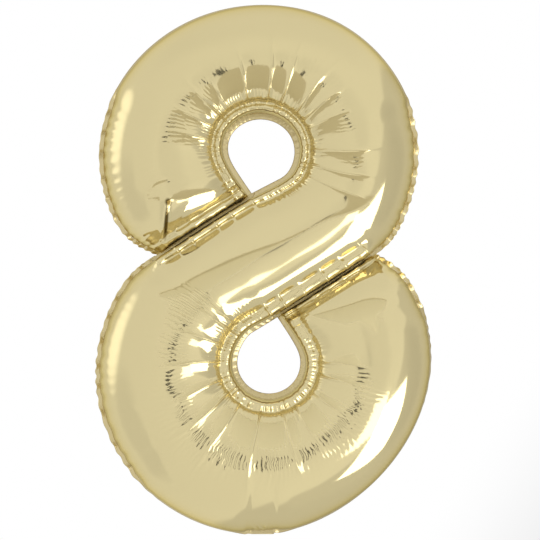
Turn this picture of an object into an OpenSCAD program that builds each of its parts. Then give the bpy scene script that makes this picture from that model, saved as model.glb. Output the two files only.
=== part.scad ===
// Foil number balloon, figure 8, inflated. Units are millimetres.
// Origin: middle of the bottom seal edge, at the filling neck.
// +Z runs up the figure, the front face looks along -Y, +X is to the viewer's right.
// The tube is one S-shaped band. It starts at the left waist, runs clockwise over
// the upper loop, crosses down the diagonal, and runs round the lower loop to the right waist.

/* [Overall] */
// Height of the figure between its outer seal edges
balloon_h = 860; // [780:1:940]
// Greatest half depth of the inflated tube
half_depth = 92; // [84:0.5:98]
// Length over which each closed end of the tube rises to full depth
end_len = 72; // [50:1:90]
// Centre of the upper eye above the origin, at 860 mm height
upper_eye_z = 616; // [606:1:626]
// Centre of the lower eye above the origin, at 860 mm height
lower_eye_z = 288; // [278:1:298]

/* [Film and welds] */
// Modelled thickness of the metallised balloon film
film_t = 0.3; // [0.2:0.05:0.4]
// Half thickness of the welded borders
weld_half_t = 0.3; // [0.25:0.05:0.35]
// Width of the outer welded border
rim_w = 7; // [5:0.5:9]
// Width of the welded border round each eye
eye_w = 9; // [7:0.5:11]

/* [Neck and tail] */
// Clear width between the side welds of the neck
neck_w = 34; // [30:1:36]
// Width of each side weld of the tail
tail_weld_w = 3; // [2:0.5:4]
// Length of the tail below the fold
tail_len = 65; // [50:1:70]
// Angle the tail is folded back from hanging straight down
tail_fold = 100; // [90:1:103]
// Clear distance from the fold line to the tail pieces
fold_gap = 1.2; // [1:0.1:2]

/* [Filling valve] */
// Length of each inner valve leaf
leaf_len = 90; // [70:1:100]
// Modelled thickness of the valve film
leaf_t = 0.2; // [0.15:0.05:0.3]
// Half of the clear slit between the two valve films
slit_half = 0.05; // [0.05:0.01:0.1]
// Height of the leaf roots above the origin
leaf_root_z = 9; // [8.6:0.1:10]

/* [Hidden] */
foil_gold = [0.84, 0.79, 0.59];
weld_gold = [0.72, 0.66, 0.46];
valve_clear = [0.90, 0.90, 0.86];

k = balloon_h/860;
upper_c = [-2, upper_eye_z];
lower_c = [10, lower_eye_z];

// Radii of the eye and of the outer edge, every 30 degrees along the band.
upper_in  = [45, 52, 58, 58, 58, 58, 58, 55, 52];
upper_out = [260, 265, 256, 246, 242.3, 250, 255, 259, 252];
lower_in  = [45, 49, 54, 58, 60, 60, 57, 52, 46];
lower_out = [260, 281, 292, 293, 290.3, 269, 262, 267, 261];

// A cubic B-spline through 30 degree steps falls short of its control points by this.
ctrl = 3/(2 + cos(30));
function arm(c, a0, da, r, off) =
    [for (i = [0:8]) c + ctrl*(r[i] + off/k)*[cos(a0 + da*i), sin(a0 + da*i)]];
left_ctrl = concat([[-165, 457]], arm(upper_c, 210, -30, upper_out, -rim_w),
    [[182, 459], [87, 399], [10, 349], [-22, 337]],
    arm(lower_c, 150, 30, lower_in, eye_w), [[33, 357]]);
right_ctrl = concat([[-24, 549]], arm(upper_c, 210, -30, upper_in, eye_w),
    [[36, 570], [-10, 550], [-87, 501], [-166, 448]],
    arm(lower_c, 150, 30, lower_out, -rim_w), [[180, 452]]);
t_end = len(left_ctrl) - 1;

function cp(P, i) = i < 0 ? 2*P[0] - P[1]
    : i >= len(P) ? 2*P[len(P) - 1] - P[len(P) - 2] : P[i];
function spline(P, t) = let (i = min(floor(t), len(P) - 2), f = t - i)
    k*(pow(1 - f, 3)*cp(P, i - 1) + (3*pow(f, 3) - 6*f*f + 4)*cp(P, i)
    + (-3*pow(f, 3) + 3*f*f + 3*f + 1)*cp(P, i + 1) + pow(f, 3)*cp(P, i + 2))/6;
function left_edge(t) = spline(left_ctrl, t);
function right_edge(t) = spline(right_ctrl, t);
function across(t) = let (d = right_edge(t) - left_edge(t)) d/norm(d);

// Stations along the band: close together where the ends fall, and at the neck.
neck_t = [17.804, 17.8275, 18.0635, 18.087];
end_t = [0, 0.01, 0.04, 0.1, 0.2, 0.33, 0.5, 0.72];
stations = concat(end_t, [for (t = [1:0.25:17.6]) t], neck_t, [for (t = [18.25:0.25:t_end - 1]) t],
    [for (i = [len(end_t) - 1:-1:0]) t_end - end_t[i]]);
n = len(stations) - 1;
m = 18;

// The section is a superellipse, fuller on the side that faces an eye.
function blend(t) = let (q = min(1, max(0, (t - 10)/3))) q*q*(3 - 2*q);
function power_left(t) = 2.05 + 0.5*blend(t);
function power_right(t) = 2.55 - 0.5*blend(t);
function end_rise(t) = let (s = 77*min(t, t_end - t)/end_len)
    s >= 1 ? 1 : pow(1 - pow(1 - s, 2.2), 1/2.2);
function section(v, p) = pow(max(0, 1 - pow(abs(v), p)), 1/p);
function inset_t(t, d) = let (q = d/77) q + (t_end - 2*q)*t/t_end;

// The film lifts off the centre plane at the neck to let the valve films through.
function lift(P, t) = abs(P.x) < neck_w/2 + 0.6 && t > 17 && t < 19 ? slit_half + leaf_t : 0;
function row(t, d, side) = let (u = inset_t(t, d), a = left_edge(u), b = right_edge(u),
        c = (b - a)/norm(b - a), h = norm(b - a)/2 - d, mid = (a + b)/2, e = end_rise(t))
    [for (i = [0:m]) let (v = -cos(180*i/m), P = mid + v*h*c,
        y = (half_depth - d)*e*section(v, v < 0 ? power_left(t) : power_right(t)))
        [P.x, side*max(y, i == m ? lift(P, t) : 0), P.y]];
function shell_points(side) = concat([for (t = stations) each row(t, 0, side)],
    [for (t = stations) each row(t, film_t, side)]);
function cell(j, i, o) = let (a = o + j*(m + 1) + i) [a, a + 1, a + m + 2, a + m + 1];
function tri2(F, flip) = flip ? [[F[0], F[2], F[1]], [F[0], F[3], F[2]]]
    : [[F[0], F[1], F[2]], [F[0], F[2], F[3]]];
N = (n + 1)*(m + 1);
function edge_cells() = concat(
    [for (j = [0:n - 1]) let (a = j*(m + 1)) [a, a + m + 1, N + a + m + 1, N + a]],
    [for (j = [0:n - 1]) let (a = j*(m + 1) + m) [a + m + 1, a, N + a, N + a + m + 1]],
    [for (i = [0:m - 1]) [i + 1, i, N + i, N + i + 1]],
    [for (i = [0:m - 1]) let (a = n*(m + 1) + i) [a, a + 1, N + a + 1, N + a]]);
function shell_faces() = concat(
    [for (j = [0:n - 1], i = [0:m - 1]) each tri2(cell(j, i, 0), true)],
    [for (j = [0:n - 1], i = [0:m - 1]) each tri2(cell(j, i, N), false)],
    [for (F = edge_cells()) each tri2(F, true)]);

// Flat outlines in the plane of the seams. Offsets run outward from the tube's edges.
function off_left(t, d) = left_edge(t) - d*across(t);
function off_right(t, d) = right_edge(t) + d*across(t);
function span(a, b) = [for (t = stations) if (t >= a && t <= b) t];
function back_span(a, b) = let (s = span(a, b)) [for (i = [len(s) - 1:-1:0]) s[i]];
module left_strip(a, b, w) {
    polygon(concat([for (t = span(a, b)) off_left(t, 0)],
        [for (t = back_span(a, b)) off_left(t, w)]));
}
module right_strip(a, b, w) {
    polygon(concat([for (t = span(a, b)) off_right(t, 0)],
        [for (t = back_span(a, b)) off_right(t, w)]));
}
// Where the outer borders meet the waist lines, and where each eye closes to its corner.
left_notch_t = 13.25;
right_notch_t = 9.75;
upper_corner_t = 11;
lower_corner_t = 12;
upper_eye_t = 9.75;
lower_eye_t = 13.25;
upper_corner = off_right(0, eye_w)
    + 0.1*(off_right(upper_eye_t, eye_w) - off_right(0, eye_w));
lower_corner = off_left(t_end, eye_w)
    + 0.1*(off_left(lower_eye_t, eye_w) - off_left(t_end, eye_w));
module upper_eye_flat() {
    polygon(concat([for (t = span(0, upper_corner_t)) right_edge(t)], [upper_corner],
        [for (t = back_span(0, upper_eye_t)) off_right(t, eye_w)]));
}
module lower_eye_flat() {
    polygon(concat([for (t = span(lower_corner_t, t_end)) left_edge(t)],
        [for (t = back_span(lower_eye_t, t_end)) off_left(t, eye_w)], [lower_corner]));
}
module left_waist_flat() {
    polygon(concat([left_edge(0), right_edge(0), off_right(0, eye_w), upper_corner],
        [for (t = span(upper_corner_t, left_notch_t)) right_edge(t)],
        [off_right(left_notch_t, rim_w), off_left(0, rim_w)]));
}
module right_waist_flat() {
    polygon(concat([for (t = span(right_notch_t, lower_corner_t)) left_edge(t)],
        [lower_corner, off_left(t_end, eye_w), left_edge(t_end), right_edge(t_end),
        off_right(t_end, rim_w), off_left(right_notch_t, rim_w)]));
}
module neck_flat() { right_strip(neck_t[1], neck_t[2], rim_w); }

// A plate between two depths, drawn in the X-Z plane.
module plate(y0, y1) {
    rotate([90, 0, 0]) translate([0, 0, -y1]) linear_extrude(height = y1 - y0) children();
}
module weld_plate() { plate(-weld_half_t, weld_half_t) children(); }
module folded() { rotate([tail_fold, 0, 0]) children(); }
module tail_strip(x0, x1) {
    translate([x0, -tail_len]) square([x1 - x0, tail_len - fold_gap]);
}

module front_foil() {
    color(foil_gold) polyhedron(points = shell_points(-1), faces = shell_faces());
}
module back_foil() {
    color(foil_gold) polyhedron(points = shell_points(1), faces = shell_faces());
}
module upper_rim_seal() {
    color(weld_gold) weld_plate() left_strip(0, right_notch_t, rim_w);
}
module lower_left_rim_seal() {
    color(weld_gold) weld_plate() right_strip(left_notch_t, neck_t[1], rim_w);
}
module lower_right_rim_seal() {
    color(weld_gold) weld_plate() right_strip(neck_t[2], t_end, rim_w);
}
module upper_eye_seal() { color(weld_gold) weld_plate() upper_eye_flat(); }
module lower_eye_seal() { color(weld_gold) weld_plate() lower_eye_flat(); }
module left_waist_seal() { color(weld_gold) weld_plate() left_waist_flat(); }
module right_waist_seal() { color(weld_gold) weld_plate() right_waist_flat(); }
foil_y = slit_half + leaf_t;
module neck_weld_front() {
    color(weld_gold) plate(-foil_y - film_t, -slit_half) neck_flat();
}
module neck_weld_back() {
    color(weld_gold) plate(slit_half, foil_y + film_t) neck_flat();
}
module leaf_flat() {
    translate([-neck_w/2 + 1, leaf_root_z]) square([neck_w - 2, leaf_len]);
}
module valve_front_film() {
    color(valve_clear) plate(-foil_y, -slit_half) leaf_flat();
}
module valve_back_film() {
    color(valve_clear) plate(slit_half, foil_y) leaf_flat();
}
tail_half = neck_w/2 + tail_weld_w;
module tail_front_foil() {
    color(foil_gold) folded() plate(-foil_y - film_t, -foil_y) tail_strip(-tail_half, tail_half);
}
module tail_back_foil() {
    color(foil_gold) folded() plate(foil_y, foil_y + film_t) tail_strip(-tail_half, tail_half);
}
module tail_left_seal() {
    color(weld_gold) folded() plate(-foil_y, foil_y) tail_strip(-tail_half, -neck_w/2);
}
module tail_right_seal() {
    color(weld_gold) folded() plate(-foil_y, foil_y) tail_strip(neck_w/2, tail_half);
}
module valve_inlet_front() {
    color(valve_clear) folded() plate(-foil_y, -slit_half) tail_strip(-neck_w/2, neck_w/2);
}
module valve_inlet_back() {
    color(valve_clear) folded() plate(slit_half, foil_y) tail_strip(-neck_w/2, neck_w/2);
}

front_foil();
back_foil();
upper_rim_seal();
lower_left_rim_seal();
lower_right_rim_seal();
upper_eye_seal();
lower_eye_seal();
left_waist_seal();
right_waist_seal();
neck_weld_front();
neck_weld_back();
valve_front_film();
valve_back_film();
tail_front_foil();
tail_back_foil();
tail_left_seal();
tail_right_seal();
valve_inlet_front();
valve_inlet_back();
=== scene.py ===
import bpy
import mathutils
import numpy as np
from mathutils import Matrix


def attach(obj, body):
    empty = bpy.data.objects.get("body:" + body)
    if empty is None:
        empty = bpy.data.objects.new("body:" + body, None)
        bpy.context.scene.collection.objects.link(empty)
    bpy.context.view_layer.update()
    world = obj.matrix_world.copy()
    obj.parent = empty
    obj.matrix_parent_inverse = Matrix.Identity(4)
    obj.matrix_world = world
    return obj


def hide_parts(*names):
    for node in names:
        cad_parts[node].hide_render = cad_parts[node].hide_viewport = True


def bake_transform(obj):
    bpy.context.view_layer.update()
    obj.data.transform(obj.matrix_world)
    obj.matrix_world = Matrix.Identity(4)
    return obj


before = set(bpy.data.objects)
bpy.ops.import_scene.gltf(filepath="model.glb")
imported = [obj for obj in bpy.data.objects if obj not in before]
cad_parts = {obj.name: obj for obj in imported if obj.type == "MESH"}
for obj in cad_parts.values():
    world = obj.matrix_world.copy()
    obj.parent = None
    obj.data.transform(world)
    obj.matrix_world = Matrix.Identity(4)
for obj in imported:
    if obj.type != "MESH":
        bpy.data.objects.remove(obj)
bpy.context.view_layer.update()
scene = bpy.context.scene

# ---------------------------------------------------------------- camera

cam_data = bpy.data.cameras.new("camera")
camera = bpy.data.objects.new("camera", cam_data)
scene.collection.objects.link(camera)
scene.camera = camera
SENSOR = 36.0              # mm
DISTANCE = 4.2             # metres from the camera to the plane of the seams
FRAME_SIDE = 0.8779        # metres of that plane across the frame
camera.location = (0.0134, -DISTANCE, 0.4291)
camera.rotation_euler = (np.pi / 2, 0, 0)
cam_data.sensor_width = SENSOR
cam_data.lens = SENSOR * DISTANCE / FRAME_SIDE
scene.view_settings.view_transform = "Standard"
scene.view_settings.look = "None"

# ------------------------------------------------- the flat shape of the band
# Millimetres in the plane of the seams, the same table as the part's source.

UPPER_C, LOWER_C = np.array([-2.0, 616.0]), np.array([10.0, 288.0])
UPPER_IN = [45, 52, 58, 58, 58, 58, 58, 55, 52]
UPPER_OUT = [260, 265, 256, 246, 242.3, 250, 255, 259, 252]
LOWER_IN = [45, 49, 54, 58, 60, 60, 57, 52, 46]
LOWER_OUT = [260, 281, 292, 293, 290.3, 269, 262, 267, 261]
RIM_W, EYE_W = 7.0, 9.0    # widths of the outer weld and of the weld round an eye
T_END = 23.0               # the band runs from station 0 to this one
STATION = 77.0             # length of the band between two stations
T_SWAP = 11.6              # the eye is on the right of the band before this station, then left
HALF_DEPTH = 92.0
CTRL = 3 / (2 + np.cos(np.radians(30)))      # radius of the polygon whose spline is a unit circle
FOLD_ROOM = RIM_W - 1.2    # how far the bulge passes the seam where the weld is folded back
STRIP_HALF = 0.25          # half the thickness of a weld
COMB_PITCH = 7.0           # distance between two ripples of the comb


def arm(centre, a0, turn, radii, off):
    """Control points round an eye: the centre plus each radius along its own direction, the
    directions turn degrees apart from a0. off is added to every radius."""
    a = np.radians(a0 + turn * np.arange(9))
    r = CTRL * (np.array(radii, float) + off)
    return centre + r[:, None] * np.c_[np.cos(a), np.sin(a)]


LEFT = np.vstack([[(-165, 457)], arm(UPPER_C, 210, -30, UPPER_OUT, -RIM_W),
                  [(182, 459), (87, 399), (10, 349), (-22, 337)],
                  arm(LOWER_C, 150, 30, LOWER_IN, EYE_W), [(33, 357)]])
RIGHT = np.vstack([[(-24, 549)], arm(UPPER_C, 210, -30, UPPER_IN, EYE_W),
                   [(36, 570), (-10, 550), (-87, 501), (-166, 448)],
                   arm(LOWER_C, 150, 30, LOWER_OUT, -RIM_W), [(180, 452)]])


def spline(P, t):
    """Uniform cubic B-spline through reflected end points, for an array of t."""
    P = np.vstack([2 * P[0] - P[1], P, 2 * P[-1] - P[-2]])
    i = np.minimum(t.astype(int), len(P) - 4)
    f = (t - i)[..., None]
    return ((1 - f) ** 3 * P[i] + (3 * f ** 3 - 6 * f ** 2 + 4) * P[i + 1]
            + (-3 * f ** 3 + 3 * f ** 2 + 3 * f + 1) * P[i + 2] + f ** 3 * P[i + 3]) / 6


def step(x, a, b):
    """Smooth step from 0 at a to 1 at b, either way round."""
    q = np.clip((x - a) / (b - a), 0, 1)
    return q * q * (3 - 2 * q)


def window(x, a, b, soft):
    """1 between a and b, fading to 0 over soft outside them."""
    return step(x, a - soft, a) * step(x, b + soft, b)


def valley(x):
    """A sharp-bottomed dip: 1 at 0, falling as a parabola to 0 at distance 1."""
    return np.clip(1 - np.abs(x), 0, 1) ** 2


def waves(x, y, size, seed, n=7):
    """Sum of n sines of random direction and phase, wavelengths near size, unit height."""
    g = np.random.default_rng(seed)
    a, p = g.uniform(0, 2 * np.pi, n), g.uniform(0, 2 * np.pi, n)
    k = 2 * np.pi / (size * g.uniform(0.7, 1.5, n))
    total = sum(np.sin(k[i] * (x * np.cos(a[i]) + y * np.sin(a[i])) + p[i]) for i in range(n))
    return total / np.sqrt(n)


def t_upper(angle):
    """Station on the upper loop for an angle about its eye, in degrees."""
    return 1 + (210 - angle) / 30


def t_lower(angle):
    """Station on the lower loop for an angle about its eye, in degrees."""
    return 14 + (angle - 150) / 30


# Where the flange lies folded back behind the bulge, as (from, to) stations.
FOLDED = [(2.9, 7.2), (18.35, 21.4), (16.6, 17.6)]


def folded_back(t):
    """1 where the outer flange is turned back out of sight, 0 where it stands out."""
    return np.clip(sum(window(t, a, b, 0.35) for a, b in FOLDED), 0, 1)


# Arcs of the outer seam that are gathered into scallops.
SCALLOPED = [(0.1, 2.6), (7.4, 9.6), (13.4, 16.6), (20.6, 22.9)]


def neck(t):
    """1 at the neck, between the two halves of the lower rim's weld."""
    return window(t, 17.80, 18.09, 0.06)


def gathered(t):
    """1 where the outer seam is gathered into scallops, 0 where it runs smooth."""
    return np.clip(sum(window(t, a, b, 0.3) for a, b in SCALLOPED), 0, 1)


def seam_phase(t):
    """Count of scallops along the outer seam, about 20 mm each, unevenly spaced."""
    return t * 6.6 + 0.35 * np.sin(2.9 * t + 0.6) + 0.22 * np.sin(7.3 * t + 1.9)


def seam_shift(t):
    """(outward, forward) shift in mm of the outer seam line where it is gathered."""
    g, ph = gathered(t), seam_phase(t)
    size = 0.75 + 0.35 * np.sin(1.7 * t + 0.4) + 0.2 * np.sin(5.1 * t)
    out = g * size * (0.9 * np.cos(2 * np.pi * ph) - 0.5)
    fwd = g * size * 1.5 * np.sin(np.pi * ph + 0.3)
    return out, fwd


def edges(t):
    """Left and right seam lines of the inflated tube and the unit direction across it."""
    a, b = spline(LEFT, t), spline(RIGHT, t)
    c = (b - a) / np.linalg.norm(b - a, axis=-1, keepdims=True)
    return a, b, c


# Radial creases: (degrees about the eye, strength, how far out they run as a share of the width).
CREASES_UPPER = [(166, 1.0, .50), (151, 1.1, .62), (136, 1.2, .66), (125, .8, .5), (103, 1.1, .72),
                 (83, 1.2, .78), (69, 1.1, .76), (50, 1.1, .74), (38, 1.0, .66), (26, .9, .62),
                 (2, 1.2, .74), (-13, .8, .72), (-27, .7, .68)]
CREASES_LOWER = [(126, .8, .45), (139, 1.1, .55), (162, 1.0, .60), (183, 1.1, .66), (204, 1.1, .64),
                 (221, 1.2, .68), (237, 1.1, .72), (261, 1.2, .78), (286, 1.1, .70), (301, 1.0, .60),
                 (323, .9, .55), (342, 1.1, .60), (355, .8, .50)]


def gores(t, q, w, creases, station, seed):
    """Height in mm of the cells between the radial creases. A crease is a broad valley that
    reaches half way to its neighbours with a narrow one in its floor; the cell between two
    creases leans a little to one side. All fade out at the end of the crease."""
    at = np.array([station(a) for a, _, _ in creases])
    order = np.argsort(at)
    at = at[order]
    deep = np.array([creases[i][1] for i in order])
    end = np.array([creases[i][2] for i in order])
    lean = np.random.default_rng(seed).uniform(-1, 1, len(at))
    gap = np.diff(at)
    before, after = np.r_[0.45, gap], np.r_[gap, 0.45]
    d = np.zeros(np.broadcast(t, q).shape)
    for k in range(len(at)):
        x = t - at[k] - 0.03 * np.sin(9 * q + k)
        fade = step(w, 12, 24) * step(q, end[k], 0.5 * end[k])
        y = np.where(x < 0, x / before[k], x / after[k])
        sharp = 1.1 * valley(x * STATION / 3.2) + 0.3 * valley(x * STATION / 8.0)
        d -= deep[k] * (3.2 * valley(y) + sharp) * fade
        if k + 1 < len(at):
            m = np.clip(2 * x / gap[k] - 1, -1, 1)
            d += 1.5 * lean[k] * (m - m ** 3) * fade
    return d


def comb(t, v):
    """Where the fine comb of ripples lies: arcs along the crown of each loop, in patches."""
    q = np.where(t < T_SWAP, (1 - v) / 2, (1 + v) / 2)
    left = window(t, t_upper(170), t_upper(132), 0.3) * np.exp(-((q - 0.36) / 0.12) ** 2)
    top = window(t, t_upper(124), t_upper(50), 0.4) * np.exp(-((q - 0.56) / 0.10) ** 2)
    right = window(t, t_upper(44), t_upper(-12), 0.4) * np.exp(-((q - 0.46) / 0.10) ** 2)
    low = window(t, t_lower(128), t_lower(342), 0.4) * np.exp(-((q - 0.48) / 0.105) ** 2)
    patch = 0.68 + 0.32 * np.sin(3.7 * t + 1.0) * np.sin(1.9 * t)
    return np.where(t < T_SWAP, 0.9 * left + 0.8 * top + 0.8 * right, 1.5 * low) * patch


# ------------------------------------------------------------ the film panels

ROWS_END, ROWS_MID, COLS = 60, 1460, 60      # rows over each closed end, rows between, columns


def rolled_edge(u, roll, high):
    """Section of the film beside a weld, as (distance in from the weld, height) in mm for u from
    0 to 1: up a wall that leans out over the weld, over a roll that is roll wide and high tall,
    down into a shallow groove, then a quarter ellipse up to the crown. A cubic B-spline."""
    r = np.asarray(roll, float)[..., None]
    h = np.asarray(high, float)[..., None]
    x = [0 * r, -0.07 * r, -0.10 * r, 0.03 * r, 0.32 * r, 0.66 * r, 0.98 * r, 1.16 * r + 1,
         0.86 * r + 17, 0.66 * r + 32, 0.4 * r + 52, 0 * r + 76, 0 * r + HALF_DEPTH]
    k = [(p - r) / (HALF_DEPTH - r) for p in x[7:]]
    y = [0 * h, 0.32 * h, 0.66 * h, 0.92 * h, 1.02 * h, 1.0 * h, 0.91 * h]
    y += [0.93 * h + (HALF_DEPTH - 0.93 * h) * (1 - (1 - p) ** 2) ** 0.7 for p in k]
    x = np.stack(np.broadcast_arrays(*x), -1)[..., 0, :]
    y = np.stack(np.broadcast_arrays(*y), -1)[..., 0, :]
    K = np.stack([x, y], -1)
    before = 2 * K[..., :1, :] - K[..., 1:2, :]
    after = 2 * K[..., -1:, :] - K[..., -2:-1, :]
    K = np.concatenate([before, K, after], -2)
    s = u * 11.9999                              # 12 spans, stopping just short of the last end
    i = s.astype(int)
    f = s - i
    w = np.stack([(1 - f) ** 3, 3 * f ** 3 - 6 * f ** 2 + 4,
                  -3 * f ** 3 + 3 * f ** 2 + 3 * f + 1, f ** 3], -1) / 6
    return sum(w[:, k, None] * K[..., i + k, :] for k in range(4))


def panel(side):
    """One film panel on a grid of stations along the band and angles across it. Across the tube
    the outer half is a superellipse, and the half beside an eye or a waist weld is rolled_edge;
    along it the two ends close by rolled_edge too. Creases, puckers and soft waves then move the
    surface along its own normal. side is -1 for the front and 1 for the back."""
    ue = np.linspace(0, 1, ROWS_END + 1)[:-1]
    first = rolled_edge(ue, 22.0, 70.0)
    last = rolled_edge(ue, 13.0, 64.0)
    t_a, t_b = first[:, 0] / STATION, T_END - last[::-1, 0] / STATION
    closing = HALF_DEPTH / STATION               # length of a closed end, in stations
    t_in = np.linspace(closing, T_END - closing, ROWS_MID + 1)
    t1 = np.r_[t_a, t_in, t_b]
    e = np.r_[first[:, 1], np.full(len(t_in), HALF_DEPTH), last[::-1, 1]][:, None] / HALF_DEPTH
    s = STATION * np.minimum(t1, T_END - t1)[:, None]
    a1 = np.linspace(0, np.pi, COLS + 1)
    t, a = np.meshgrid(t1, a1, indexing="ij")
    L, R, C = edges(t1)
    out, fwd = seam_shift(t1)
    fold = folded_back(t1)
    # the outer seam is on the left of the band above the waist and on the right below it
    lim_u, lim_l = step(t1, 10.2, 9.6), step(t1, 12.8, 13.4)
    grow = FOLD_ROOM * fold * (1 - neck(t1))
    L = L - C * (grow * lim_u)[:, None]
    R = R + C * (grow * lim_l)[:, None]
    mid, half = (L + R) / 2, np.linalg.norm(R - L, axis=1) / 2
    # plain superellipse, then the rolled edges blended in where there is an eye or a waist weld
    c = -np.cos(a)
    full = (2.1 + 0.15 * step(t1, 12, 14) + 0.35 * window(t1, 19.5, 22.9, 1.0))[:, None]
    v = np.sign(c) * np.abs(c) ** (2 / full)
    g = np.abs(np.sin(a)) ** (2 / full)
    on_l, on_r = step(t1, 9.55, 10.1), step(t1, 13.55, 12.95)
    waist_l = window(t1, 9.8, 11.9, 0.4)
    waist_r = window(t1, 11.1, 13.2, 0.4)
    n2 = COLS // 2 + 1
    u = np.linspace(0, 1, n2)
    for on, roll, high, cols, sign in (
            (on_l, 19 + waist_l, 64 + 4 * waist_l, slice(0, n2), -1),
            (on_r, 16 - 3 * waist_r, np.full(len(t1), 64.0), slice(COLS, n2 - 2, -1), 1)):
        W = rolled_edge(u, roll, high)
        w, h = W[..., 0], W[..., 1] / HALF_DEPTH
        w = w + (half[:, None] - HALF_DEPTH) * (np.clip(w, 0, None) / HALF_DEPTH) ** 2
        v[:, cols] += on[:, None] * (sign * (1 - w / half[:, None]) - v[:, cols])
        g[:, cols] += on[:, None] * (h - g[:, cols])
    # near the outer seam the gathers pull the surface in and out with the seam
    reach = v * half[:, None] + (out * lim_l)[:, None] * step(v, 0.80, 1.0) \
        - (out * lim_u)[:, None] * step(v, -0.80, -1.0)
    x = mid[:, 0:1] + reach * C[:, 0:1]
    z = mid[:, 1:2] + reach * C[:, 1:2]
    # the upper loop is 84 mm deep and the lower one 92; the last lobe grows thinner towards its
    # end, by 5.5 mm for each station past 20.3
    past = t1 - 20.3
    thinner = 2.75 * (past + np.sqrt(past ** 2 + 0.1))
    depth = (84.0 + 8.0 * step(t1, 10.6, 14.2) - thinner)[:, None]
    y = depth * e * g
    # the seam itself swings forward and back where it is gathered
    swing = (fwd * lim_u)[:, None] * step(v, -0.86, -1.0) \
        + (fwd * lim_l)[:, None] * step(v, 0.86, 1.0)
    P = np.stack([x, y, z], -1)
    # normals of the smooth form
    du, dv = np.gradient(P, axis=0), np.gradient(P, axis=1)
    N = np.cross(dv, du)
    N /= np.maximum(np.linalg.norm(N, axis=-1, keepdims=True), 1e-9)
    d = relief(t, v, s, half[:, None], side)
    hold = np.minimum(1, g * e * 5)      # nothing moves at the welds
    P = P + N * (d * hold)[..., None]
    P[..., 1] = np.maximum(P[..., 1] + side * swing, side * swing)
    P[..., 1] *= side
    return P, t, v


def relief(t, v, s, half, side):
    """Height in mm added to the smooth tube: radial creases round each eye, pleats on the bead
    beside the eye weld, gathers beside the scalloped seam, short cross creases on the rolls
    beside the waist welds, a fine comb along the crown, and long soft waves."""
    up, low = step(t, 11.2, 10.2), step(t, 12.0, 13.0)
    q = np.where(t < T_SWAP, (1 - v) / 2, (1 + v) / 2)   # 0 at the eye, 1 at the outer seam
    w = 2 * q * half                                     # mm in from the eye weld
    # the back has its own random draws, and its creases are turned by 4 degrees
    seed, turned = (0, 0.0) if side < 0 else (50, 4.0)
    upper = [(a + turned, k, e) for a, k, e in CREASES_UPPER]
    lower = [(a - turned, k, e) for a, k, e in CREASES_LOWER]
    d = gores(t, q, w, upper, t_upper, 5 + seed) * (t < T_SWAP)
    d += gores(t, q, w, lower, t_lower, 8 + seed) * (t >= T_SWAP)
    eye = np.maximum(up, low)
    # pleats: pillows about 10 mm wide over the bead, and finer ones running on out of its groove
    ph = 3.3 * t + 0.30 * np.sin(3.1 * t) + 0.18 * np.sin(8.7 * t + 1) + seed
    size = 0.8 + 0.35 * np.sin(2.3 * t + 1) + 0.2 * np.sin(6.1 * t)
    pleat = np.abs(np.sin(np.pi * ph)) ** 0.6
    d += 2.3 * size * (pleat - 0.75) * step(w, 25, 15) * step(w, 1, 6) * eye
    fine = np.abs(np.sin(np.pi * (2.2 * ph + 0.3 * np.sin(5 * t))))
    d += 0.75 * (fine - 0.6) * step(w, 44, 24) * step(w, 4, 12) * eye
    # gathers beside the scalloped seam
    ga = gathered(t)
    far = 0.25 + 0.75 * step(t, 3.2, 2.4)
    d += 0.9 * ga * far * np.sin(np.pi * seam_phase(t) * 2 + 0.8) * step(q, 0.93, 0.99)
    d += 0.7 * ga * far * np.sin(np.pi * seam_phase(t) * 2 + 2.1) * step(q, 0.84, 0.96)
    # short creases across the rolls beside the waist welds
    along_end = v * half
    at_start = ((-66, 1.0), (-38, 1.0), (-9, 1.1), (21, 0.9), (47, 0.7))
    at_finish = ((-58, 0.8), (-31, 1.0), (-3, 1.0), (26, 0.8), (54, 0.9))
    d += end_creases(along_end, s, at_start, 32) * (t < 11)
    d += end_creases(along_end, s, at_finish, 21) * (t > 11)
    per_station = 2.45                                   # cross creases to a station
    w_r, w_l = (1 - v) * half, (1 + v) * half            # mm in from the right and left seams
    for we, a, b, k, reach in ((w_r, 11.05, 13.05, 0.3, 19), (w_l, 9.95, 12.0, 0.0, 27)):
        on = window(t, a, b, 0.25)
        phase = (t * per_station + k + 0.12 * np.sin(7 * t)) % 1.0
        cr = np.abs(phase - 0.5) * STATION / per_station         # mm off a crease
        dip = 1.7 * valley(cr / 12.0) + 1.5 * valley(cr / 4.0)
        d -= on * dip * step(we, reach, reach - 8) * step(we, -2, 4)
    # comb: ripples along the crown
    arc = t * STATION * (1 + 0.20 * (q - 0.5))
    wander = 0.5 * waves(t * STATION, q * 60, 60.0, 21 + seed)
    d += 0.36 * comb(t, v) * np.sin(2 * np.pi * (arc / COMB_PITCH + wander))
    # long soft waves, so that reflections wander
    X, Y = t * STATION, v * half
    d += 0.50 * waves(X, Y, 150.0, 3 + seed) + 0.13 * waves(X, Y, 60.0, 9 + seed)
    if side < 0:
        d += front_marks(t, v, half)
    return d


def end_creases(along, s, creases, reach):
    """Creases across the roll at an end weld, at (mm along the weld, strength), gone at reach."""
    d = sum(k * (1.9 * valley((along - c) / 13.0) + 1.7 * valley((along - c) / 3.6))
            for c, k in creases)
    return -d * step(s, reach, reach - 12) * step(s, -2, 5)


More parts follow.
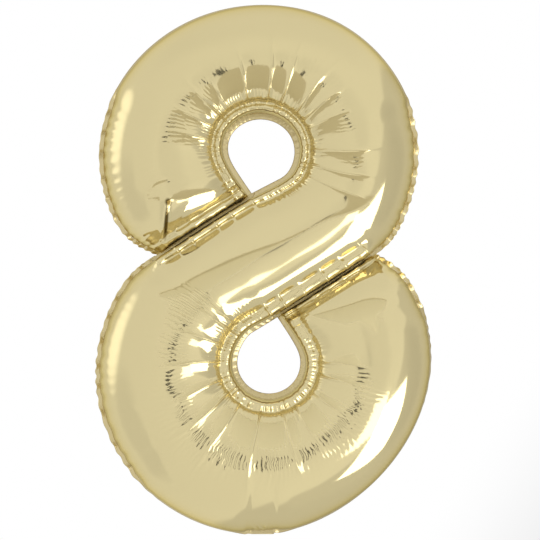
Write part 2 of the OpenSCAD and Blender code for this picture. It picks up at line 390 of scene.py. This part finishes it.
def front_marks(t, v, half):
    """Marks that only the front panel has: a pinch with a crease running down from it on the
    first lobe, a bent facet on the last lobe, a double ridge low on the left, and the crumpled
    patch where the neck was gathered."""
    L, R, C = edges(t[:, 0])
    mid = (L + R) / 2
    x = mid[:, 0:1] + v * half * C[:, 0:1]
    z = mid[:, 1:2] + v * half * C[:, 1:2]
    d = 0 * x
    # the pinch: a shallow cone and a long narrow valley below it, inside a faint ring
    px, pz = x + 152.0, z - 540.0
    r = np.hypot(px, pz)
    d -= 1.8 * valley(r / 36.0) + 2.6 * valley(r / 7.0) + 0.7 * valley((r - 33.0) / 5.0)
    lean = px - 0.13 * pz
    width = 7.5 + 0.045 * np.clip(pz, -70, 0)
    d -= 5.0 * valley(lean / width) * window(pz, -60.0, 2.0, 6.0)
    # soft folds as (x, z) to (x, z), depth: three that bend the last lobe's facet, three of the
    # double ridge low on the left, and one high on the left
    for x0, z0, x1, z1, k in ((164, 448, 200, 417, 1.1), (200, 417, 197, 315, 0.5),
                              (200, 417, 226, 372, 0.6), (-192, 201, -176, 152, 1.2),
                              (-176, 152, -141, 95, 1.0), (-203, 205, -186, 148, 1.0),
                              (-203, 560, -203, 660, 0.9)):
        dx, dz = x1 - x0, z1 - z0
        n = np.hypot(dx, dz)
        along = ((x - x0) * dx + (z - z0) * dz) / n
        off = ((x - x0) * dz - (z - z0) * dx) / n
        d -= k * valley(off / 9.0) * window(along, 0, n, 14.0)
    # the gathered neck
    nx, nz = x - 2.5, z - 16.0
    near = np.exp(-((nx / 13.0) ** 2 + (nz / 9.0) ** 2))
    d += 2.6 * near * waves(2.0 * nx, nz, 11.0, 31)
    return d


def make_mesh(name, P, extra=None, flip=False, uv=None):
    """A grid of points in mm as one smooth quad surface in metres. extra holds one value a point
    for each named attribute, flip turns the faces round, and uv becomes the film's map."""
    nu, nv = P.shape[:2]
    i, j = np.meshgrid(np.arange(nu - 1), np.arange(nv - 1), indexing="ij")
    k = i * nv + j
    quads = np.stack([k, k + 1, k + nv + 1, k + nv], -1).reshape(-1, 4)
    if flip:
        quads = quads[:, ::-1]
    me = bpy.data.meshes.new(name)
    co = (P.reshape(-1, 3) * 0.001).astype(np.float32)
    me.vertices.add(len(co))
    me.vertices.foreach_set("co", co.ravel())
    me.loops.add(quads.size)
    me.loops.foreach_set("vertex_index", quads.ravel().astype(np.int32))
    me.polygons.add(len(quads))
    me.polygons.foreach_set("loop_start", np.arange(0, quads.size, 4, dtype=np.int32))
    me.polygons.foreach_set("loop_total", np.full(len(quads), 4, np.int32))
    me.update(calc_edges=True)
    me.polygons.foreach_set("use_smooth", np.ones(len(quads), bool))
    if uv is not None:
        layer = me.uv_layers.new(name="film")
        layer.data.foreach_set("uv", uv.reshape(-1, 2)[quads.ravel()].astype(np.float32).ravel())
    for key, values in (extra or {}).items():
        at = me.attributes.new(key, "FLOAT", "POINT")
        at.data.foreach_set("value", values.reshape(-1).astype(np.float32))
    me.validate()
    ob = bpy.data.objects.new(name, me)
    scene.collection.objects.link(ob)
    return ob


def srgb(hex_value):
    """An sRGB hex colour as linear RGBA."""
    c = np.array([int(hex_value[i:i + 2], 16) for i in (1, 3, 5)]) / 255
    lin = np.where(c <= 0.04045, c / 12.92, ((c + 0.055) / 1.055) ** 2.4)
    return (*lin, 1.0)


def add(tree, kind, links=None, **settings):
    """Adds a node; settings name its properties or its input sockets, links name input sockets."""
    n = tree.nodes.new(kind)
    for key, value in settings.items():
        if hasattr(n, key):
            setattr(n, key, value)
        else:
            n.inputs[key.replace("_", " ")].default_value = value
    for key, source in (links or {}).items():
        tree.links.new(source, n.inputs[key])
    return n


def new_material(name):
    """A material with an empty node tree, and that tree."""
    m = bpy.data.materials.new(name)
    m.use_nodes = True
    m.node_tree.nodes.clear()
    return m, m.node_tree


CHAMPAGNE_FILM, CHAMPAGNE_GLANCING = "#D9CB9C", "#DDCF9A"    # seen square on, and edge on
CHAMPAGNE_WELD, WELD_GLANCING = "#D0C091", "#D4C491"
# painted shade: the dull brown drawn into the hard crease below the pinch
CREASE_PAINTED_SHADE = "#5E4D26"
MILKY_FILM = "#E9E8E0"

# Marks of painted shade in the hard crease below the pinch: centre in metres, tilt in degrees,
# half size in metres. They reach only the front film, because they end before the back one.
CREASE_SHADE_MARKS = (((-0.1525, -0.07, 0.5060), 6.0, (0.0042, 0.12, 0.038)),
          ((-0.1487, -0.07, 0.5375), 0.0, (0.0072, 0.12, 0.0085)))


def metallised_nylon_film():
    """Vacuum-metallised nylon film with a champagne gold lacquer. It is a mirror with a little
    haze from the lacquer: the eye sees what stands round it, bent by fine ripples where the film
    is gathered, and no fold goes quite black. The one hard crease below the pinch has painted
    shade: its base colour is drawn dull brown there."""
    m, tr = new_material("metallised_nylon_film")
    bsdf = add(tr, "ShaderNodeBsdfPrincipled", Metallic=0.88, Roughness=0.085)
    bsdf.inputs["Specular Tint"].default_value = srgb(CHAMPAGNE_GLANCING)
    add(tr, "ShaderNodeOutputMaterial", {"Surface": bsdf.outputs[0]})
    uv = add(tr, "ShaderNodeUVMap", uv_map="film")
    mask = add(tr, "ShaderNodeAttribute", attribute_name="comb")
    # ripples 7 mm apart: the map's first axis is in millimetres along the band, and a noise of
    # about 33 mm makes them wander
    wob = add(tr, "ShaderNodeTexNoise", {"Vector": uv.outputs[0]}, Scale=0.03, Detail=2.0)
    sep = add(tr, "ShaderNodeSeparateXYZ", {"Vector": uv.outputs[0]})
    phase = add(tr, "ShaderNodeMath", {0: sep.outputs[0]}, operation="MULTIPLY")
    phase.inputs[1].default_value = 2 * np.pi / COMB_PITCH
    shift = add(tr, "ShaderNodeMath", {0: wob.outputs[0]}, operation="MULTIPLY")
    shift.inputs[1].default_value = 14.0
    total = add(tr, "ShaderNodeMath", {0: phase.outputs[0], 1: shift.outputs[0]}, operation="ADD")
    wave = add(tr, "ShaderNodeMath", {0: total.outputs[0]}, operation="SINE")
    high = add(tr, "ShaderNodeMath", {0: wave.outputs[0], 1: mask.outputs["Fac"]},
               operation="MULTIPLY")
    bump = add(tr, "ShaderNodeBump", {"Height": high.outputs[0]}, Strength=1.0, Distance=0.00010)
    tr.links.new(bump.outputs[0], bsdf.inputs["Normal"])
    # each mark of painted shade is an ellipsoid round a stretch of the crease, fading out at its
    # surface
    place = add(tr, "ShaderNodeTexCoord")
    below = None
    for centre, tilt, half_size in CREASE_SHADE_MARKS:
        drop = add(tr, "ShaderNodeMapping", {"Vector": place.outputs["Object"]},
                   vector_type="TEXTURE", Location=centre,
                   Rotation=(0.0, np.radians(tilt), 0.0), Scale=half_size)
        reach = add(tr, "ShaderNodeVectorMath", {0: drop.outputs[0]}, operation="LENGTH")
        shade_weight = add(tr, "ShaderNodeMapRange", {"Value": reach.outputs["Value"]},
                   interpolation_type="SMOOTHSTEP")
        shade_weight.inputs["From Min"].default_value = 1.0
        shade_weight.inputs["From Max"].default_value = 0.35
        mix = add(tr, "ShaderNodeMix", {"Factor": shade_weight.outputs["Result"]}, data_type="RGBA")
        mix.inputs["A"].default_value = srgb(CHAMPAGNE_FILM)
        # the colour of the painted shade in the crease
        mix.inputs["B"].default_value = srgb(CREASE_PAINTED_SHADE)
        if below is not None:
            tr.links.new(below, mix.inputs["A"])
        below = mix.outputs["Result"]
    tr.links.new(below, bsdf.inputs["Base Color"])
    return m


def heat_sealed_border():
    """Two films fused by a hot bar: the same gold, satin from the bar's fine tooth. The tooth is
    finer than half a millimetre; it is drawn at about 1.1 mm, so that it shows."""
    m, tr = new_material("heat_sealed_border")
    bsdf = add(tr, "ShaderNodeBsdfPrincipled", Metallic=0.88, Roughness=0.22)
    bsdf.inputs["Base Color"].default_value = srgb(CHAMPAGNE_WELD)
    bsdf.inputs["Specular Tint"].default_value = srgb(WELD_GLANCING)
    add(tr, "ShaderNodeOutputMaterial", {"Surface": bsdf.outputs[0]})
    co = add(tr, "ShaderNodeTexCoord")
    grain = add(tr, "ShaderNodeTexNoise", {"Vector": co.outputs["Object"]}, Scale=900.0, Detail=2.0)
    bump = add(tr, "ShaderNodeBump", {"Height": grain.outputs[0]}, Strength=0.35, Distance=0.0002)
    tr.links.new(bump.outputs[0], bsdf.inputs["Normal"])
    return m


def polyethylene_valve_film():
    """Blown polyethylene: thin, milky and soft to light, with the 8 mm unevenness of blown film."""
    m, tr = new_material("polyethylene_valve_film")
    bsdf = add(tr, "ShaderNodeBsdfPrincipled", Roughness=0.35, IOR=1.51, Alpha=0.75)
    bsdf.inputs["Base Color"].default_value = srgb(MILKY_FILM)
    add(tr, "ShaderNodeOutputMaterial", {"Surface": bsdf.outputs[0]})
    co = add(tr, "ShaderNodeTexCoord")
    grain = add(tr, "ShaderNodeTexNoise", {"Vector": co.outputs["Object"]}, Scale=120.0, Detail=3.0)
    bump = add(tr, "ShaderNodeBump", {"Height": grain.outputs[0]}, Strength=0.3, Distance=0.0003)
    tr.links.new(bump.outputs[0], bsdf.inputs["Normal"])
    return m


# The three finishes, and the foils.
FILM, BORDER, VALVE = metallised_nylon_film(), heat_sealed_border(), polyethylene_valve_film()

for side, name in ((-1, "front_foil"), (1, "back_foil")):
    P, t, v = panel(side)
    along = np.cumsum(np.r_[0, np.linalg.norm(np.diff(P[:, COLS // 2], axis=0), axis=1)])
    uv = np.stack([np.broadcast_to(along[:, None], t.shape), v * 150.0], -1)
    ob = make_mesh(name + "_film", P, {"comb": comb(t, v)}, flip=side > 0, uv=uv)
    ob.data.materials.append(FILM)
    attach(ob, "balloon")
    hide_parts(name)


def closed_strip(name, X, Y, thick, off, nodes, flip):
    """A thin closed strip round a middle surface. X is the flat place and Y the depth of each
    point, thick half the thickness along Y, off half of it across the band (0 where it lies
    flat). The far face runs back under the near one, and both ends are pinched shut."""
    pinch = np.ones(len(X))
    pinch[[0, -1]] = 0.02
    ox, oz, ty = off[0][:, None], off[1][:, None], (thick * pinch)[:, None]
    near = np.stack([X[..., 0] + ox, Y - ty, X[..., 1] + oz], -1)
    far = np.stack([X[..., 0] - ox, Y + ty, X[..., 1] - oz], -1)
    ring = np.concatenate([near, far[:, ::-1], near[:, :1]], 1)
    ob = make_mesh(name, ring, flip=flip)
    ob.data.materials.append(BORDER)
    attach(ob, "balloon")
    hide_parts(*nodes)
    return ob


def rim_border(name, t1, left, nodes, across=6):
    """An outer weld. It starts on the seam line of the film and runs outward by its width; where
    the flange is folded it turns back behind the bulge instead, and where the seam is gathered
    it swings forward and back."""
    L, R, C = edges(t1)
    outward = -C if left else C
    out, fwd = seam_shift(t1)
    fold = folded_back(t1) * (1 - neck(t1))
    base = (L if left else R) + outward * (out + FOLD_ROOM * fold)[:, None]
    u = np.linspace(0, 1, across + 1)
    turn = fold * np.radians(80)
    reach_out = RIM_W * np.cos(turn) + 0.6 * fold
    reach_back = RIM_W * np.sin(turn)
    flutter = gathered(t1) * 1.3 * np.sin(np.pi * seam_phase(t1) + 0.3)
    X = base[:, None, :] + outward[:, None, :] * (u[None, :, None] * reach_out[:, None, None])
    Y = fwd[:, None] + reach_back[:, None] * u + flutter[:, None] * u ** 1.5
    off = outward * (STRIP_HALF * np.sin(turn))[:, None]
    return closed_strip(name, X, Y, STRIP_HALF * np.cos(turn), off.T, nodes, not left)


def eye_border(name, t1, left, t_open, node, across=8):
    """The weld round an eye, from the film's seam line in to the edge of the hole. It leans back
    as it nears the hole. Past station t_open its free edge runs straight to the corner of the
    teardrop, where it meets the weld's other end."""
    L, R, C = edges(t1)
    inward = -C if left else C
    seam = L if left else R
    hole = seam + inward * EYE_W
    free, closed = (-1, 0) if left else (0, -1)
    k = np.argmin(np.abs(t1 - t_open))
    corner = hole[free] + 0.1 * (hole[k] - hole[free])
    share = np.clip((t1 - t_open) / (t1[closed] - t_open), 0, 1)[:, None]
    hole = np.where(share > 0, hole[k] + share * (corner - hole[k]), hole)
    u = np.linspace(0, 1, across + 1)
    X = seam[:, None, :] + (hole - seam)[:, None, :] * u[None, :, None]
    ph = 3.3 * t1 + 0.30 * np.sin(3.1 * t1)
    Y = 3.0 * u ** 1.5 + (0.5 * np.sin(2 * np.pi * ph))[:, None] * u * (1 - u) * 2
    flat = np.zeros((2, len(t1)))
    return closed_strip(name, X, Y, np.full(len(t1), STRIP_HALF), flat, [node], left)


rim_border("upper_rim_border", np.linspace(0, 9.9, 1100), True, ["upper_rim_seal"])
rim_border("lower_left_rim_border", np.linspace(13.1, 17.8275, 600), False, ["lower_left_rim_seal"])
rim_border("lower_right_rim_border", np.linspace(18.0635, T_END, 600), False,
           ["lower_right_rim_seal"])
eye_border("upper_eye_border", np.linspace(0, 11, 500), False, 9.75, "upper_eye_seal")
eye_border("lower_eye_border", np.linspace(12, T_END, 500), True, 13.25, "lower_eye_seal")


def tail_film(name, side, node):
    """One film of the filling tail. Its path runs down from the neck weld, round the fold line at
    the origin and out along the tail; across it, the film bows a little away from its twin and
    meets it at both edges, with a few long puckers from the gathered neck."""
    drop, bend, out = 9.0, 1.3, 64.0             # length above the fold, its radius, length below
    slope = np.radians(10)
    turn = np.pi / 2 + slope
    l = np.r_[np.linspace(-drop, 0, 10)[:-1], np.linspace(0, bend * turn, 12),
              np.linspace(bend * turn, out, 60)[1:]]
    a = np.clip(l / bend, 0, turn)
    py = bend * (1 - np.cos(a)) + np.maximum(l - bend * turn, 0) * np.cos(slope)
    pz = bend - bend * np.sin(a) - np.minimum(l, 0)
    pz = pz + np.maximum(l - bend * turn, 0) * np.sin(slope)
    ny = np.where(a >= turn, np.sin(slope), -np.cos(a))
    nz = np.where(a >= turn, -np.cos(slope), -np.sin(a))
    k = np.linspace(-1, 1, 41)
    width = 17.2 + 2.8 * step(l, 0, 14)
    L, K = np.meshgrid(l, k, indexing="ij")
    crown = 1 - K ** 2
    bow = 0.45 + (1.5 + 0.35 * np.cos(9 * np.pi * K + 0.02 * L)) * crown * step(L, 4, 26)
    bow = bow + 0.25 * waves(L, 20 * K, 17.0, 61) * step(L, 6, 20) * crown
    off = -side * bow
    X = K * width[:, None]
    P = np.stack([X, py[:, None] + off * ny[:, None], pz[:, None] + off * nz[:, None]], -1)
    uv = np.stack([L, X], -1)
    ob = make_mesh(name, P, {"comb": 0 * L}, flip=side < 0, uv=uv)
    ob.data.materials.append(FILM)
    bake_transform(ob)
    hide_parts(node)


tail_film("tail_front_film", -1, "tail_front_foil")
tail_film("tail_back_film", 1, "tail_back_foil")

for node in ("left_waist_seal", "right_waist_seal",
             "neck_weld_front", "neck_weld_back", "tail_left_seal", "tail_right_seal"):
    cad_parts[node].data.materials.clear()
    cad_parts[node].data.materials.append(BORDER)
for node in ("valve_front_film", "valve_back_film", "valve_inlet_front", "valve_inlet_back"):
    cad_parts[node].data.materials.clear()
    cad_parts[node].data.materials.append(VALVE)

# ---------------------------------------------------------------- studio


def grid_plane(name, size, z, colour, rough):
    """A square floor, size metres from its middle to its edge, at height z."""
    s = np.linspace(-size, size, 3) * 1000
    X, Y = np.meshgrid(s, s, indexing="ij")
    ob = make_mesh(name, np.stack([X, Y, np.full_like(X, z * 1000)], -1), flip=True)
    m, tr = new_material(name + "_paint")
    bsdf = add(tr, "ShaderNodeBsdfPrincipled", Roughness=rough)
    bsdf.inputs["Base Color"].default_value = srgb(colour)
    add(tr, "ShaderNodeOutputMaterial", {"Surface": bsdf.outputs[0]})
    ob.data.materials.append(m)
    return ob


floor = grid_plane("floor", 6.0, -0.75, "#F4F4F2", 0.9)
floor.visible_glossy = False     # the film mirrors the studio below it, not the floor's far edge

world = bpy.data.worlds.new("studio")
scene.world = world
world.use_nodes = True
wt = world.node_tree
wt.nodes.clear()
co = add(wt, "ShaderNodeTexCoord")
# The room is white all round but for a few patches of wall: azimuth, elevation, half width and
# softness in degrees, and how much light each keeps. The wall behind is dull round a white
# sheet, so that the rim of a mirror stands out against it. Left and right of the balloon the
# walls are a little duller than in front, as in a room with its lamps overhead.
PATCHES = ((105, -32, 69, 2.5, 0.76), (-72, -4, 58, 30, 0.94), (0, 84, 40, 14, 0.94),
           (180, 0, 33, 16, 0.72), (180, 0, 11, 2, 1 / 0.72), (-94, 11, 15, 10, 1.75),
           (42, -28, 34, 10, 1.05), (-66, -24, 20, 10, 0.88), (75, -9, 24, 12, 0.87),
           (8, 5, 10, 7, 0.93))
light = None
for az, el, half, soft, keep in PATCHES:
    a, e = np.radians(az), np.radians(el)
    dot = add(wt, "ShaderNodeVectorMath", {0: co.outputs["Generated"]}, operation="DOT_PRODUCT")
    dot.inputs[1].default_value = (np.sin(a) * np.cos(e), -np.cos(a) * np.cos(e), np.sin(e))
    patch = add(wt, "ShaderNodeMapRange", {"Value": dot.outputs["Value"]},
                interpolation_type="SMOOTHSTEP")
    patch.inputs["From Min"].default_value = np.cos(np.radians(half + soft))
    patch.inputs["From Max"].default_value = np.cos(np.radians(max(half - soft, 1)))
    patch.inputs["To Min"].default_value = 1.0
    patch.inputs["To Max"].default_value = keep
    if light is None:
        light = patch.outputs["Result"]
    else:
        light = add(wt, "ShaderNodeMath", {0: light, 1: patch.outputs["Result"]},
                    operation="MULTIPLY").outputs[0]
bg = add(wt, "ShaderNodeBackground", {"Strength": light})
bg.inputs["Color"].default_value = (1, 1, 1, 1)
add(wt, "ShaderNodeOutputWorld", {"Surface": bg.outputs[0]})


def softbox(name, azimuth, elevation, distance, width, height, power, roll=0.0,
            aim=(0.0, 0.0, 0.43)):
    """An area light aimed at a point of the balloon. azimuth is degrees to the right of the
    front, elevation degrees up, both seen from that point."""
    a, e = np.radians(azimuth), np.radians(elevation)
    away = np.array([np.sin(a) * np.cos(e), -np.cos(a) * np.cos(e), np.sin(e)])
    at = away * distance + np.array(aim)
    data = bpy.data.lights.new(name, "AREA")
    data.shape, data.size, data.size_y, data.energy = "RECTANGLE", width, height, power
    ob = bpy.data.objects.new(name, data)
    scene.collection.objects.link(ob)
    turn = mathutils.Vector(tuple(np.array(aim) - at)).to_track_quat("-Z", "Y")
    ob.rotation_mode = "QUATERNION"
    ob.rotation_quaternion = turn @ mathutils.Quaternion((0, 0, 1), np.radians(roll))
    ob.location = at
    ob.visible_camera = False
    return ob


softbox("key_right", 46, -27, 3.2, 1.7, 1.9, 34, 14)
softbox("key_low", 24, -13, 3.2, 0.75, 0.70, 3.0, 0, (-0.12, 0.0, 0.30))


def card(name, centre, width, height, colour, flat=False):
    """A card that only reflections see, upright or flat: a dark tripod and its cloth, or a dull
    shelf in front of the balloon, with a white underside."""
    ends = np.array([-0.5, 0.5])
    X, Z = np.meshgrid(ends * width, ends * height, indexing="ij")
    P = np.stack([X, Z, 0 * X] if flat else [X, 0 * X, Z], -1)
    ob = make_mesh(name, (P + np.array(centre)) * 1000)
    m, tr = new_material(name + "_cloth")
    bsdf = add(tr, "ShaderNodeBsdfPrincipled", Roughness=0.9)
    bsdf.inputs["Base Color"].default_value = srgb(colour)
    add(tr, "ShaderNodeOutputMaterial", {"Surface": bsdf.outputs[0]})
    ob.data.materials.append(m)
    ob.visible_camera = False
    ob.visible_shadow = False
    ob.visible_diffuse = False
    return ob


card("tripod", (0.0, -4.6, 0.02), 0.36, 1.10, "#1A1A1A")
card("shelf_top", (0.02, -0.86, 0.50), 0.62, 1.24, "#D8D2C2", flat=True)
card("shelf_underside", (0.02, -0.86, 0.49), 0.62, 1.24, "#FFFFFF", flat=True)
